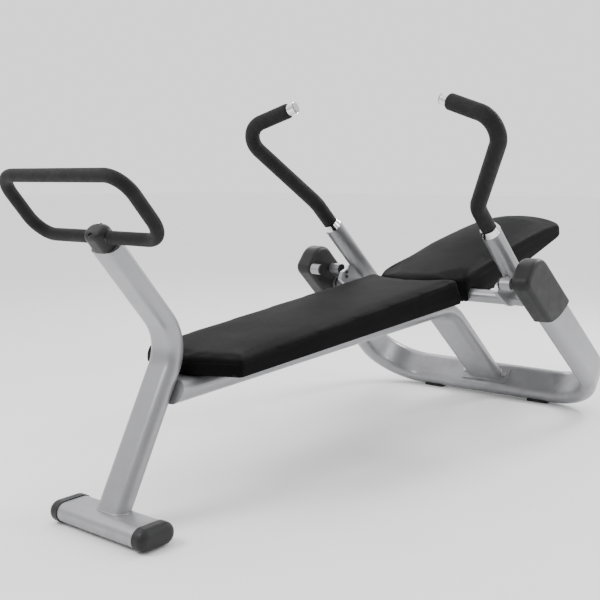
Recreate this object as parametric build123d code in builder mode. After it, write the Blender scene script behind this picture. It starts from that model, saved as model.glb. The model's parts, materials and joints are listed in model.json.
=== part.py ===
"""Abdominal crunch bench: a fixed bench on a post, beam and U frame, with a swinging back pad and handles.

Millimetres. +Z is up, +X runs from the foot end to the head end, Y is across the bench.
The origin is on the floor, at the middle of the bounding box.
"""

import os
from math import cos, radians, sin, sqrt, tan

from build123d import *

os.makedirs("parts", exist_ok=True)

# ---- driving dimensions -------------------------------------------------------------------------

front_x = -908.68  # front edge of the foot stabiliser
foot_pad = 4.0  # thickness of the rubber feet
tube_wall = 3.0

stabiliser_width, stabiliser_depth = 90.0, 42.0
stabiliser_reach = 146.0  # half the length over the end caps
cap_cover = 30.0  # how far each end cap covers the stabiliser

post_width, post_depth = 80.0, 40.0
post_bend_radius = 100.0
lower_post_angle = 62.2  # degrees above the floor, towards the head end
upper_post_angle = 50.0  # degrees above the floor, towards the foot end

loop_x, loop_z = front_x + 38.0, 601.0  # middle of the loop's lower bar
loop_half_low, loop_half_high, loop_height = 188.0, 183.0, 155.0
loop_tube, loop_sleeve = 22.0, 28.0
loop_corner_radius = 48.0

beam_width, beam_depth = 118.0, 46.0
beam_start_x, beam_start_z = front_x + 290.0, 274.5  # a point on the beam's centre line
beam_slope = 3.0
beam_bend_radius = 180.0

frame_width, frame_depth = 110.0, 50.0  # section of the U frame tube
rear_angle = 39.8  # the U frame leans back to the floor at this angle
rear_x = front_x + 1660.0  # centre of the floor run of the U frame
rear_half = 402.0  # half width over the leg centre lines at the floor
leg_length = 616.0
leg_lean = 3.46  # degrees that each leg leans in
frame_bend_radius = 155.0

pivot_x, pivot_z = front_x + 1267.0, 378.0  # the back pad and the handles swing about this axis
pivot_tube_od, pivot_tube_id = 38.0, 30.0
pivot_reach = 329.5
journal = 25.0
bush_bore, bush_od = 25.1, 32.0

arm_y = 265.0
arm_od = 56.0
arm_angle = 41.3  # the arms lean towards the foot end, at this angle above the floor
arm_foot_x, arm_foot_z = front_x + 1365.0, 372.0
arm_length = 320.0
bar_od, grip_od = 27.0, 43.0

pad_half = 147.0
bench_foot_x = front_x + 238.0
bench_head_top_x, bench_head_low_x = front_x + 1183.0, front_x + 1215.0
lip_centre_x = front_x + 1342.7  # centre of the arcs where the two pads meet
lip_radius = 187.7
lip_gap = 14.0
back_head_x = front_x + 1893.0
back_corner_radius = 35.0

peg_od, peg_plug_od = 32.0, 27.0
peg_plug = 5.0  # thickness of the plug's disc
peg_end_y = 300.0


def save(builder, name):
    """Label a finished piece and write it to its own file."""
    builder.part.label = name
    export_step(builder.part, f"parts/{name}.step")


def unit_xz(angle):
    """Direction in the XZ plane, measured from +X towards +Z."""
    return Vector(cos(radians(angle)), 0, sin(radians(angle)))


def y_plane(y, x=0.0, z=0.0):
    """Plane facing +Y at the given place, with local x along +X reversed and local y up."""
    return Plane(origin=(x, y, z), x_dir=(-1, 0, 0), z_dir=(0, 1, 0))


# ---- stations worked out from the driving dimensions --------------------------------------------

stabiliser_x = front_x + stabiliser_width / 2 - 1.0
stabiliser_z = foot_pad + stabiliser_depth / 2

post_foot = Vector(front_x + 57.0, 0, 50.0)
lower_dir = unit_xz(lower_post_angle)
upper_dir = unit_xz(180 - upper_post_angle)
loop_point = Vector(loop_x, 0, loop_z)
saddle_depth = 24.0
post_cap_thickness = 4.0
post_top = loop_point - upper_dir * (saddle_depth + post_cap_thickness)
cross = lower_dir.X * upper_dir.Z - lower_dir.Z * upper_dir.X
gap = loop_point - post_foot
post_corner = post_foot + lower_dir * ((gap.X * upper_dir.Z - gap.Z * upper_dir.X) / cross)

leg_dir = unit_xz(180 - rear_angle)
leg_normal = Vector(leg_dir.Z, 0, -leg_dir.X)
half_flat = (frame_width - frame_depth) / 2
rear_z = foot_pad - 1.0 + frame_depth / 2 + half_flat * leg_normal.Z
rear_centre = Vector(rear_x, 0, rear_z)
frame_plane = Plane(origin=rear_centre, x_dir=(0, 1, 0), z_dir=leg_normal)

slope = tan(radians(beam_slope))
brace_rise = tan(radians(rear_angle))
brace_corner_x = (rear_z + rear_x * brace_rise - beam_start_z + slope * beam_start_x) / (slope + brace_rise)


def beam_z(x):
    """Height of the beam's centre line."""
    return beam_start_z + slope * (x - beam_start_x)


def bench_top(x):
    """Height of the bench pad's top face."""
    return 311.0 + 0.101 * (x - front_x)


def bench_bottom(x):
    """Height of the bench pad's underside."""
    return 300.0 + 0.064 * (x - front_x - 290.0)


# ---- foot stabiliser ----------------------------------------------------------------------------

cap_skin = 2.0
stabiliser_tube_reach = stabiliser_reach - 14.0
with BuildPart() as foot_stabiliser:
    with BuildSketch(y_plane(-stabiliser_tube_reach, stabiliser_x, stabiliser_z)):
        SlotOverall(stabiliser_width, stabiliser_depth)
        SlotOverall(stabiliser_width - 2 * tube_wall, stabiliser_depth - 2 * tube_wall, mode=Mode.SUBTRACT)
    extrude(amount=2 * stabiliser_tube_reach)
save(foot_stabiliser, "foot_stabiliser")

for side, word in ((-1, "right"), (1, "left")):
    with BuildPart() as stabiliser_cap:
        with BuildSketch(y_plane(side * (stabiliser_reach - cap_cover), stabiliser_x, stabiliser_z)):
            SlotOverall(stabiliser_width + 2 * cap_skin, stabiliser_depth + 2 * cap_skin)
        extrude(amount=side * cap_cover)
        outer_face = stabiliser_cap.faces().sort_by(Axis.Y)[-1 if side > 0 else 0]
        fillet(outer_face.edges(), radius=16)
        with BuildSketch(y_plane(side * (stabiliser_reach - cap_cover), stabiliser_x, stabiliser_z)):
            SlotOverall(stabiliser_width, stabiliser_depth)
        extrude(amount=side * (stabiliser_tube_reach - stabiliser_reach + cap_cover), mode=Mode.SUBTRACT)
    save(stabiliser_cap, f"stabiliser_cap_{word}")

with BuildPart() as stabiliser_feet:
    with BuildSketch(Plane.XY):
        with Locations((stabiliser_x, -88), (stabiliser_x, 88)):
            RectangleRounded(44, 36, 6)
    extrude(amount=foot_pad)
save(stabiliser_feet, "stabiliser_feet")

# ---- front post ---------------------------------------------------------------------------------

with BuildPart() as front_post:
    with BuildLine(Plane.XZ) as post_path:
        start = post_foot - lower_dir * 30
        FilletPolyline(
            (start.X, start.Z), (post_corner.X, post_corner.Z), (post_top.X, post_top.Z),
            radius=post_bend_radius,
        )
    with BuildSketch(Plane(origin=post_path.line @ 0, x_dir=(0, 1, 0), z_dir=post_path.line % 0)):
        SlotOverall(post_width, post_depth)
        SlotOverall(post_width - 2 * tube_wall, post_depth - 2 * tube_wall, mode=Mode.SUBTRACT)
    sweep(path=post_path.line)
    with BuildSketch(y_plane(-post_width, stabiliser_x, stabiliser_z)):
        SlotOverall(stabiliser_width, stabiliser_depth)
    extrude(amount=2 * post_width, mode=Mode.SUBTRACT)
    split(bisect_by=Plane.XY.offset(stabiliser_z), keep=Keep.TOP)
save(front_post, "front_post")

loop_plane = Plane(origin=loop_point, x_dir=(0, 1, 0), z_dir=(upper_dir.Z, 0, -upper_dir.X))
post_end_plane = Plane(origin=post_top, x_dir=(0, 1, 0), z_dir=upper_dir)
with BuildPart() as post_top_plate:
    with BuildSketch(post_end_plane):
        SlotOverall(post_width, post_depth)
    extrude(amount=post_cap_thickness)
save(post_top_plate, "post_top_plate")

# ---- grab loop and its clamp --------------------------------------------------------------------

clamp_width, clamp_depth = 58.0, 44.0
with BuildPart() as grab_loop_tube:
    with BuildLine(loop_plane) as loop_path:
        FilletPolyline(
            (-loop_half_low, 0), (loop_half_low, 0),
            (loop_half_high, loop_height), (-loop_half_high, loop_height),
            radius=loop_corner_radius, close=True,
        )
    with BuildSketch(Plane(origin=loop_path.line @ 0, z_dir=loop_path.line % 0)):
        Circle(loop_tube / 2)
        Circle(loop_tube / 2 - 2.0, mode=Mode.SUBTRACT)
    sweep(path=loop_path.line)
save(grab_loop_tube, "grab_loop_tube")

sleeve_gap = clamp_width / 2 + 1.0
with BuildPart() as grab_loop_sleeve:
    with BuildLine(loop_plane) as sleeve_path:
        FilletPolyline(
            (sleeve_gap, 0), (loop_half_low, 0), (loop_half_high, loop_height),
            (-loop_half_high, loop_height), (-loop_half_low, 0), (-sleeve_gap, 0),
            radius=loop_corner_radius,
        )
    with BuildSketch(Plane(origin=sleeve_path.line @ 0, z_dir=sleeve_path.line % 0)):
        Circle(loop_sleeve / 2)
        Circle(loop_tube / 2, mode=Mode.SUBTRACT)
    sweep(path=sleeve_path.line)
save(grab_loop_sleeve, "grab_loop_sleeve")

clamp_plane = Plane(origin=loop_point, x_dir=(0, 1, 0), z_dir=upper_dir)
screw_places = ((0, 16.0), (0, -16.0))
clamp_corner = 20.0
loop_axis_plane = Plane(origin=loop_point - Vector(0, clamp_width, 0), x_dir=(1, 0, 0), z_dir=(0, 1, 0))
with BuildPart() as loop_clamp_saddle:
    with BuildSketch(clamp_plane.offset(-saddle_depth)):
        RectangleRounded(clamp_width, clamp_depth, clamp_corner)
    extrude(amount=saddle_depth)
    with BuildSketch(loop_axis_plane):
        Circle(loop_tube / 2)
    extrude(amount=2 * clamp_width, mode=Mode.SUBTRACT)
    with BuildSketch(clamp_plane):
        with Locations(*screw_places):
            Circle(3.0)
    extrude(amount=-16, mode=Mode.SUBTRACT)
save(loop_clamp_saddle, "loop_clamp_saddle")

cover_height = 22.0
with BuildPart() as loop_clamp_cover:
    with BuildSketch(clamp_plane):
        RectangleRounded(clamp_width, clamp_depth, clamp_corner)
    extrude(amount=cover_height)
    fillet(loop_clamp_cover.faces().sort_by(Axis(loop_point, upper_dir))[-1].edges(), radius=14)
    with BuildSketch(loop_axis_plane):
        Circle(loop_tube / 2)
    extrude(amount=2 * clamp_width, mode=Mode.SUBTRACT)
    with BuildSketch(clamp_plane):
        with Locations(*screw_places):
            Circle(3.0)
    extrude(amount=cover_height, mode=Mode.SUBTRACT)
    with BuildSketch(clamp_plane.offset(14)):
        with Locations(*screw_places):
            Circle(5.5)
    extrude(amount=cover_height, mode=Mode.SUBTRACT)
save(loop_clamp_cover, "loop_clamp_cover")

with BuildPart() as loop_clamp_screws:
    with BuildSketch(clamp_plane.offset(-14)):
        with Locations(*screw_places):
            Circle(3.0)
    extrude(amount=28)
    with BuildSketch(clamp_plane.offset(14)):
        with Locations(*screw_places):
            Circle(5.0)
    extrude(amount=4)
save(loop_clamp_screws, "loop_clamp_screws")

# ---- main beam and brace ------------------------------------------------------------------------

brace_plate_thickness = 6.0
beam_end_thickness = 4.0  # wall that closes the beam against the post
brace_end = rear_centre + leg_dir * (frame_depth / 2 + brace_plate_thickness)
post_back = Plane(
    origin=post_foot + Vector(lower_dir.Z, 0, -lower_dir.X) * (post_depth / 2),
    x_dir=(0, 1, 0), z_dir=(lower_dir.Z, 0, -lower_dir.X),
)
with BuildPart() as main_beam:
    with BuildLine(Plane.XZ) as beam_path:
        first_x = front_x + 150.0
        FilletPolyline(
            (first_x, beam_z(first_x)), (brace_corner_x, beam_z(brace_corner_x)), (brace_end.X, brace_end.Z),
            radius=beam_bend_radius,
        )
    with BuildSketch(Plane(origin=beam_path.line @ 0, x_dir=(0, 1, 0), z_dir=beam_path.line % 0)):
        SlotOverall(beam_width, beam_depth)
        SlotOverall(beam_width - 2 * tube_wall, beam_depth - 2 * tube_wall, mode=Mode.SUBTRACT)
    sweep(path=beam_path.line)
    split(bisect_by=post_back, keep=Keep.TOP)
    with BuildPart():
        with BuildSketch(Plane(origin=beam_path.line @ 0, x_dir=(0, 1, 0), z_dir=beam_path.line % 0)):
            SlotOverall(beam_width - tube_wall, beam_depth - tube_wall)
        extrude(amount=120)
        split(bisect_by=post_back, keep=Keep.TOP)
        split(bisect_by=post_back.offset(beam_end_thickness), keep=Keep.BOTTOM)
save(main_beam, "main_beam")

plate_bolts = ((-70.0, 0.0), (70.0, 0.0))
with BuildPart() as brace_foot_plate:
    with BuildSketch(Plane(origin=rear_centre + leg_dir * (frame_depth / 2), x_dir=(0, 1, 0), z_dir=leg_dir)):
        RectangleRounded(166, 60, 10)
    extrude(amount=brace_plate_thickness)
    with BuildSketch(Plane(origin=rear_centre + leg_dir * (frame_depth / 2), x_dir=(0, 1, 0), z_dir=leg_dir)):
        with Locations(*plate_bolts):
            Circle(5.0)
    extrude(amount=brace_plate_thickness, mode=Mode.SUBTRACT)
save(brace_foot_plate, "brace_foot_plate")

bolt_length = 22.0
with BuildPart() as brace_foot_bolts:
    bolt_top = Plane(origin=brace_end, x_dir=(0, 1, 0), z_dir=leg_dir)
    with BuildSketch(bolt_top.offset(-bolt_length)):
        with Locations(*plate_bolts):
            Circle(5.0)
    extrude(amount=bolt_length)
    with BuildSketch(bolt_top):
        with Locations(*plate_bolts):
            RegularPolygon(8.5, 6)
    extrude(amount=6.5)
save(brace_foot_bolts, "brace_foot_bolts")

# ---- U frame ------------------------------------------------------------------------------------

housing_od = 46.0
lean_cos, lean_sin = cos(radians(leg_lean)), sin(radians(leg_lean))
peg_places = ((653.0, -42.0), (571.5, 18.8))  # along the leg, and towards its upper side
stud = 12.0


def leg_plane(side):
    """Plane through a leg's centre line, with local x up along the leg and facing away from the bench."""
    along = leg_dir * lean_cos - Vector(0, side * lean_sin, 0)
    outward = Vector(0, side * lean_cos, 0) + leg_dir * lean_sin
    return Plane(origin=rear_centre + Vector(0, side * rear_half, 0), x_dir=along, z_dir=outward)


leg_top_y, leg_top_rise = rear_half - lean_sin * leg_length, lean_cos * leg_length
with BuildPart() as u_frame:
    with BuildLine(frame_plane) as frame_path:
        FilletPolyline(
            (-leg_top_y, leg_top_rise), (-rear_half, 0), (rear_half, 0), (leg_top_y, leg_top_rise),
            radius=frame_bend_radius,
        )
    with BuildSketch(Plane(origin=frame_path.line @ 0, x_dir=leg_normal, z_dir=frame_path.line % 0)):
        SlotOverall(frame_width, frame_depth)
        SlotOverall(frame_width - 2 * tube_wall, frame_depth - 2 * tube_wall, mode=Mode.SUBTRACT)
    sweep(path=frame_path.line)
    with BuildSketch(y_plane(-385, pivot_x, pivot_z)):
        Circle(housing_od / 2)
    extrude(amount=770, mode=Mode.SUBTRACT)
    with BuildSketch(Plane(origin=rear_centre, x_dir=(0, 1, 0), z_dir=leg_dir)):
        with Locations(*plate_bolts):
            Circle(5.0)
    extrude(amount=frame_depth, mode=Mode.SUBTRACT)
    for side in (-1, 1):
        with BuildSketch(leg_plane(side).offset(-frame_depth / 2 - 1)):
            with Locations(*[(s, side * n) for s, n in peg_places]):
                Circle(stud / 2)
        extrude(amount=15, mode=Mode.SUBTRACT)
save(u_frame, "u_frame")

cap_half_width, cap_half_depth = frame_width / 2 + 4.0, frame_depth / 2 + 3.5
cap_top, cap_foot_low, cap_foot_mid, cap_foot_high = 672.0, 498.0, 458.0, 441.0

peg_plugs = []
for side, word in ((-1, "right"), (1, "left")):
    leg = leg_plane(side)
    corner, along, outward = leg.origin, leg.x_dir, leg.z_dir
    inner_face = leg.offset(-cap_half_depth)

    with BuildPart() as leg_cap:
        with BuildSketch(inner_face):
            with BuildLine():
                low = (cap_foot_low, -side * cap_half_width)
                top_low = (cap_top, -side * cap_half_width)
                top_high = (cap_top, side * cap_half_width)
                high = (cap_foot_high, side * cap_half_width)
                FilletPolyline(low, top_low, top_high, high, radius=(26.0, 60.0))
                ThreePointArc(high, (cap_foot_mid, 0), low)
            make_face()
        extrude(amount=2 * cap_half_depth)
        flat_faces = leg_cap.faces().sort_by(Axis(corner, outward))
        for face in (flat_faces[0], flat_faces[-1]):
            rim = [edge for edge in face.edges() if edge.geom_type == GeomType.LINE or edge.length < 95]
            fillet(rim, radius=14)
        with BuildSketch(Plane(origin=corner + along * 400, x_dir=leg_normal, z_dir=along)):
            SlotOverall(frame_width, frame_depth)
        extrude(amount=leg_length - 400, mode=Mode.SUBTRACT)
        with BuildSketch(y_plane(side * 300, pivot_x, pivot_z)):
            Circle(housing_od / 2)
        extrude(amount=side * 70, mode=Mode.SUBTRACT)
        with BuildSketch(inner_face):
            with Locations(*[(s, side * n) for s, n in peg_places]):
                Circle(stud / 2)
        extrude(amount=14, mode=Mode.SUBTRACT)
    save(leg_cap, f"leg_cap_{word}")

    with BuildPart() as housing:
        with BuildSketch(y_plane(side * 334, pivot_x, pivot_z)):
            Circle(housing_od / 2)
            Circle(bush_od / 2, mode=Mode.SUBTRACT)
        extrude(amount=side * 42)
    save(housing, f"bearing_housing_{word}")

    with BuildPart() as bush:
        with BuildSketch(y_plane(side * 334, pivot_x, pivot_z)):
            Circle(bush_od / 2)
            Circle(bush_bore / 2, mode=Mode.SUBTRACT)
        extrude(amount=side * 42)
        with BuildSketch(y_plane(side * 331, pivot_x, pivot_z)):
            Circle(21)
            Circle(bush_bore / 2, mode=Mode.SUBTRACT)
        extrude(amount=side * 3)
    save(bush, f"pivot_bush_{word}")

    for (place_s, place_n), end in zip(peg_places, ("front", "rear")):
        root = corner + along * place_s + leg_normal * place_n - outward * cap_half_depth
        peg_plane = Plane(origin=root, x_dir=along, z_dir=-outward)
        peg_length = abs(root.Y) - peg_end_y - peg_plug
        with BuildPart() as peg:
            with BuildSketch(peg_plane):
                Circle(peg_od / 2)
            extrude(amount=peg_length)
            with BuildSketch(peg_plane.offset(peg_length - 8)):
                Circle(peg_plug_od / 2)
            extrude(amount=8, mode=Mode.SUBTRACT)
            with BuildSketch(peg_plane):
                Circle(stud / 2)
            extrude(amount=-14)
        save(peg, f"{end}_peg_{word}")
        peg_plugs.append((peg_plane, peg_length))

with BuildPart() as peg_end_plugs:
    for peg_plane, peg_length in peg_plugs:
        with BuildSketch(peg_plane.offset(peg_length - 8)):
            Circle(peg_plug_od / 2)
        extrude(amount=8)
        with BuildSketch(peg_plane.offset(peg_length)):
            Circle(peg_od / 2)
        extrude(amount=peg_plug)
save(peg_end_plugs, "peg_end_plugs")

with BuildPart() as u_frame_feet:
    foot_plane = Plane(origin=(rear_x - half_flat * leg_normal.X, 0, 0))
    with BuildSketch(foot_plane):
        with Locations((0, -190), (0, 190)):
            RectangleRounded(34, 70, 8)
    extrude(amount=10)
    with BuildSketch(Plane(origin=rear_centre - Vector(0, rear_half, 0), x_dir=leg_normal, z_dir=(0, 1, 0))):
        SlotOverall(frame_width, frame_depth)
    extrude(amount=2 * rear_half, mode=Mode.SUBTRACT)
save(u_frame_feet, "u_frame_feet")

# ---- bench pad ----------------------------------------------------------------------------------

board_thickness, board_inset = 14.0, 14.0
bench_arc = lip_radius + lip_gap
bench_foot_half, bench_shoulder_x = 30.0, front_x + 280.0
bench_rise = 0.064
screw_reach = 10.0  # how far the pad screws go into the board


def side_plane(high_y):
    """Plane that faces -Y, with local x along +X and local y up, to extrude side views from."""
    return Plane.XZ.offset(-high_y)


def bench_outline(inset):
    """Plan of the bench pad, with a blunt foot end and a hollow head end."""
    half = pad_half - inset
    radius = bench_arc + inset
    head_x = lip_centre_x - sqrt(radius**2 - half**2)
    foot_x = bench_foot_x + inset
    with BuildSketch() as outline:
        with BuildLine():
            Polyline(
                (head_x, half), (bench_shoulder_x, half), (foot_x, bench_foot_half),
                (foot_x, -bench_foot_half), (bench_shoulder_x, -half), (head_x, -half),
            )
            ThreePointArc((head_x, -half), (lip_centre_x - radius, 0), (head_x, half))
        make_face()
    return outline.sketch


def bench_under_plane(x):
    """Plane on the underside of the bench pad, with local x across the bench."""
    return Plane(origin=(x, 0, bench_bottom(x)), x_dir=(0, 1, 0), z_dir=(-bench_rise, 0, 1))


def beam_top(x):
    """Height of the beam's flat top."""
    return beam_z(x) + beam_depth / 2 / cos(radians(beam_slope))


bracket_places = (front_x + 520.0, front_x + 1050.0)
bracket_half, bracket_half_length, bracket_wing, bracket_screw_y = 78.0, 22.0, 4.0, 67.0
board_end_x = bench_head_low_x - 2 * board_inset

with BuildPart() as board_blank:
    with BuildSketch(Plane.XY.offset(200)):
        add(bench_outline(board_inset))
    extrude(amount=300)
    with BuildSketch(side_plane(pad_half)):
        Polygon(
            (front_x, bench_bottom(front_x)), (board_end_x, bench_bottom(board_end_x)),
            (board_end_x, bench_bottom(board_end_x) + board_thickness),
            (front_x, bench_bottom(front_x) + board_thickness), align=None,
        )
    extrude(amount=2 * pad_half, mode=Mode.INTERSECT)

with BuildPart() as bench_board:
    add(board_blank.part)
    for x in bracket_places:
        with BuildSketch(bench_under_plane(x)):
            with Locations((-bracket_screw_y, 0), (bracket_screw_y, 0)):
                Circle(3.0)
        extrude(amount=screw_reach, mode=Mode.SUBTRACT)
save(bench_board, "bench_board")

with BuildPart() as bench_cushion:
    with BuildSketch(Plane.XY.offset(200)):
        add(bench_outline(0))
    extrude(amount=300)
    with BuildSketch(side_plane(pad_half)):
        Polygon(
            (front_x, bench_bottom(front_x)), (bench_head_low_x, bench_bottom(bench_head_low_x)),
            (bench_head_top_x, bench_top(bench_head_top_x)), (front_x, bench_top(front_x)), align=None,
        )
    extrude(amount=2 * pad_half, mode=Mode.INTERSECT)
    add(board_blank.part, mode=Mode.SUBTRACT)
save(bench_cushion, "bench_cushion")

with BuildPart() as bench_pad_brackets:
    for x in bracket_places:
        foot_end, head_end = x - bracket_half_length, x + bracket_half_length
        with BuildSketch(side_plane(bracket_half)):
            Polygon(
                (foot_end, bench_bottom(foot_end) - bracket_wing),
                (head_end, bench_bottom(head_end) - bracket_wing),
                (head_end, bench_bottom(head_end)), (foot_end, bench_bottom(foot_end)), align=None,
            )
        extrude(amount=2 * bracket_half)
        with BuildSketch(side_plane(34)):
            Polygon(
                (foot_end, beam_top(foot_end)), (head_end, beam_top(head_end)),
                (head_end, bench_bottom(head_end)), (foot_end, bench_bottom(foot_end)), align=None,
            )
        extrude(amount=68)
        with BuildSketch(bench_under_plane(x)):
            with Locations((-bracket_screw_y, 0), (bracket_screw_y, 0)):
                Circle(3.0)
        extrude(amount=-2 * bracket_wing, mode=Mode.SUBTRACT)
save(bench_pad_brackets, "bench_pad_brackets")

with BuildPart() as bench_pad_screws:
    for x in bracket_places:
        with BuildSketch(bench_under_plane(x).offset(-bracket_wing)):
            with Locations((-bracket_screw_y, 0), (bracket_screw_y, 0)):
                Circle(3.0)
        extrude(amount=bracket_wing + screw_reach)
        with BuildSketch(bench_under_plane(x).offset(-bracket_wing)):
            with Locations((-bracket_screw_y, 0), (bracket_screw_y, 0)):
                Circle(5.5)
        extrude(amount=-4)
save(bench_pad_screws, "bench_pad_screws")

# ---- side view of the back pad ------------------------------------------------------------------

back_crease = (
    (1150, 423), (1214, 432), (1295, 451), (1381, 471), (1510, 503), (1634, 527), (1767, 549), (1900, 560),
)
back_crown = (4.0, 8.0, 10.0, 14.0, 20.0, 24.0, 28.0, 24.0)  # how far the middle stands above the creases
nose_low, nose_back = (front_x + 1150.0, 412.0), (front_x + 1205.0, 398.0)
side_low, knee, head_low = (front_x + 1235.0, 361.0), (front_x + 1405.0, 385.0), (front_x + 1900.0, 528.5)
pan_front_x, pan_foot_z = front_x + 1235.0, 401.0
pan_top_knee, pan_top_head = (front_x + 1405.0, 417.0), (front_x + 1900.0, 552.0)
spare = 5.0  # how far the blocks that are trimmed to size run past it
notch_half, notch_x, notch_z = 62.0, front_x + 1300.0, 405.0
groove_radius = pivot_tube_od / 2 + 0.4
bevel_foot_z, bevel_top_z = 420.0, 444.0  # the nose slopes back at 45 degrees above the lower height


def back_bottom(x):
    """Height of the back pad's underside between the pivot and the head end."""
    low, high = (side_low, knee) if x < knee[0] else (knee, head_low)
    return low[1] + (high[1] - low[1]) * (x - low[0]) / (high[0] - low[0])


# ---- stops --------------------------------------------------------------------------------------

rest_x, rest_post_od, rest_bumper_od, rest_bumper_height = front_x + 1392.0, 20.0, 30.0, 8.0
rest_top = back_bottom(rest_x - rest_bumper_od / 2) - 0.6
brace_top_plane = Plane(
    origin=rear_centre + leg_normal * (beam_depth / 2), x_dir=(0, 1, 0), z_dir=leg_normal,
)
with BuildPart() as rest_stop_post:
    with BuildSketch(Plane(origin=(rest_x, 0, rest_top - rest_bumper_height))):
        Circle(rest_post_od / 2)
    extrude(amount=-120)
    split(bisect_by=brace_top_plane, keep=Keep.TOP)
save(rest_stop_post, "rest_stop_post")

with BuildPart() as rest_bumper:
    with BuildSketch(Plane(origin=(rest_x, 0, rest_top - rest_bumper_height))):
        Circle(rest_bumper_od / 2)
    extrude(amount=rest_bumper_height)
    fillet(rest_bumper.faces().sort_by(Axis.Z)[-1].edges(), radius=2)
save(rest_bumper, "rest_bumper")

stop_foot_x, stop_head_x, stop_top = front_x + 1213.0, front_x + 1237.0, 351.0
with BuildPart() as travel_stop_pad:
    with BuildSketch(side_plane(12)):
        Polygon(
            (stop_foot_x, beam_top(stop_foot_x)), (stop_head_x, beam_top(stop_head_x)),
            (stop_head_x, stop_top), (stop_foot_x, stop_top), align=None,
        )
    extrude(amount=24)
save(travel_stop_pad, "travel_stop_pad")

# ---- pivot --------------------------------------------------------------------------------------

stub_root_y, journal_end_y, washer_thickness, screw_shank = 290.0, 377.0, 2.5, 25.0
with BuildPart() as pivot_tube:
    with BuildSketch(y_plane(-pivot_reach, pivot_x, pivot_z)):
        Circle(pivot_tube_od / 2)
        Circle(pivot_tube_id / 2, mode=Mode.SUBTRACT)
    extrude(amount=2 * pivot_reach)
save(pivot_tube, "pivot_tube")

for side, word in ((-1, "right"), (1, "left")):
    with BuildPart() as stub_shaft:
        with BuildSketch(y_plane(side * stub_root_y, pivot_x, pivot_z)):
            Circle(pivot_tube_id / 2)
        extrude(amount=side * (pivot_reach - stub_root_y))
        with BuildSketch(y_plane(side * pivot_reach, pivot_x, pivot_z)):
            Circle(journal / 2)
        extrude(amount=side * (journal_end_y - pivot_reach))
        with BuildSketch(y_plane(side * journal_end_y, pivot_x, pivot_z)):
            Circle(4.0)
        extrude(amount=-side * (screw_shank - washer_thickness), mode=Mode.SUBTRACT)
    save(stub_shaft, f"stub_shaft_{word}")

with BuildPart() as pivot_washers:
    for side in (-1, 1):
        with BuildSketch(y_plane(side * journal_end_y, pivot_x, pivot_z)):
            Circle(18.0)
            Circle(4.0, mode=Mode.SUBTRACT)
        extrude(amount=side * washer_thickness)
save(pivot_washers, "pivot_washers")

with BuildPart() as pivot_screws:
    for side in (-1, 1):
        with BuildSketch(y_plane(side * (journal_end_y + washer_thickness), pivot_x, pivot_z)):
            Circle(4.0)
        extrude(amount=-side * screw_shank)
        with BuildSketch(y_plane(side * (journal_end_y + washer_thickness), pivot_x, pivot_z)):
            Circle(8.0)
        extrude(amount=side * 5)
save(pivot_screws, "pivot_screws")

with BuildPart() as travel_stop_lug:
    with BuildSketch(side_plane(8)):
        Polygon(
            (pivot_x - 50, pivot_z - 2), (pivot_x - 10, pivot_z - 2), (pivot_x - 10, pivot_z + 8),
            (pivot_x - 50, pivot_z + 8), align=None,
        )
    extrude(amount=16)
    with BuildSketch(y_plane(-20, pivot_x, pivot_z)):
        Circle(pivot_tube_od / 2)
    extrude(amount=40, mode=Mode.SUBTRACT)
save(travel_stop_lug, "travel_stop_lug")

# ---- arms, brackets and handles -----------------------------------------------------------------

bracket_thickness = 12.0
collar_length, collar_skirt, sleeve_length, disc_thickness = 18.0, 12.0, 22.0, 3.5
tube_end = arm_length - collar_length
arm_dir = unit_xz(180 - arm_angle)
bracket_bolt_places = ((front_x + 1205.0, 410.0), (front_x + 1205.0, 424.0))
bracket_outline = (
    (1176, 402), (1186, 424), (1232, 442), (1262, 452), (1340, 380), (1334, 366), (1300, 357), (1262, 356),
    (1238, 364),
)
arm_foot_plane = Plane(origin=(arm_foot_x, 0, arm_foot_z), x_dir=(0, 1, 0), z_dir=arm_dir)
handle_corner_radii = (70.0, 55.0)

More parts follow.
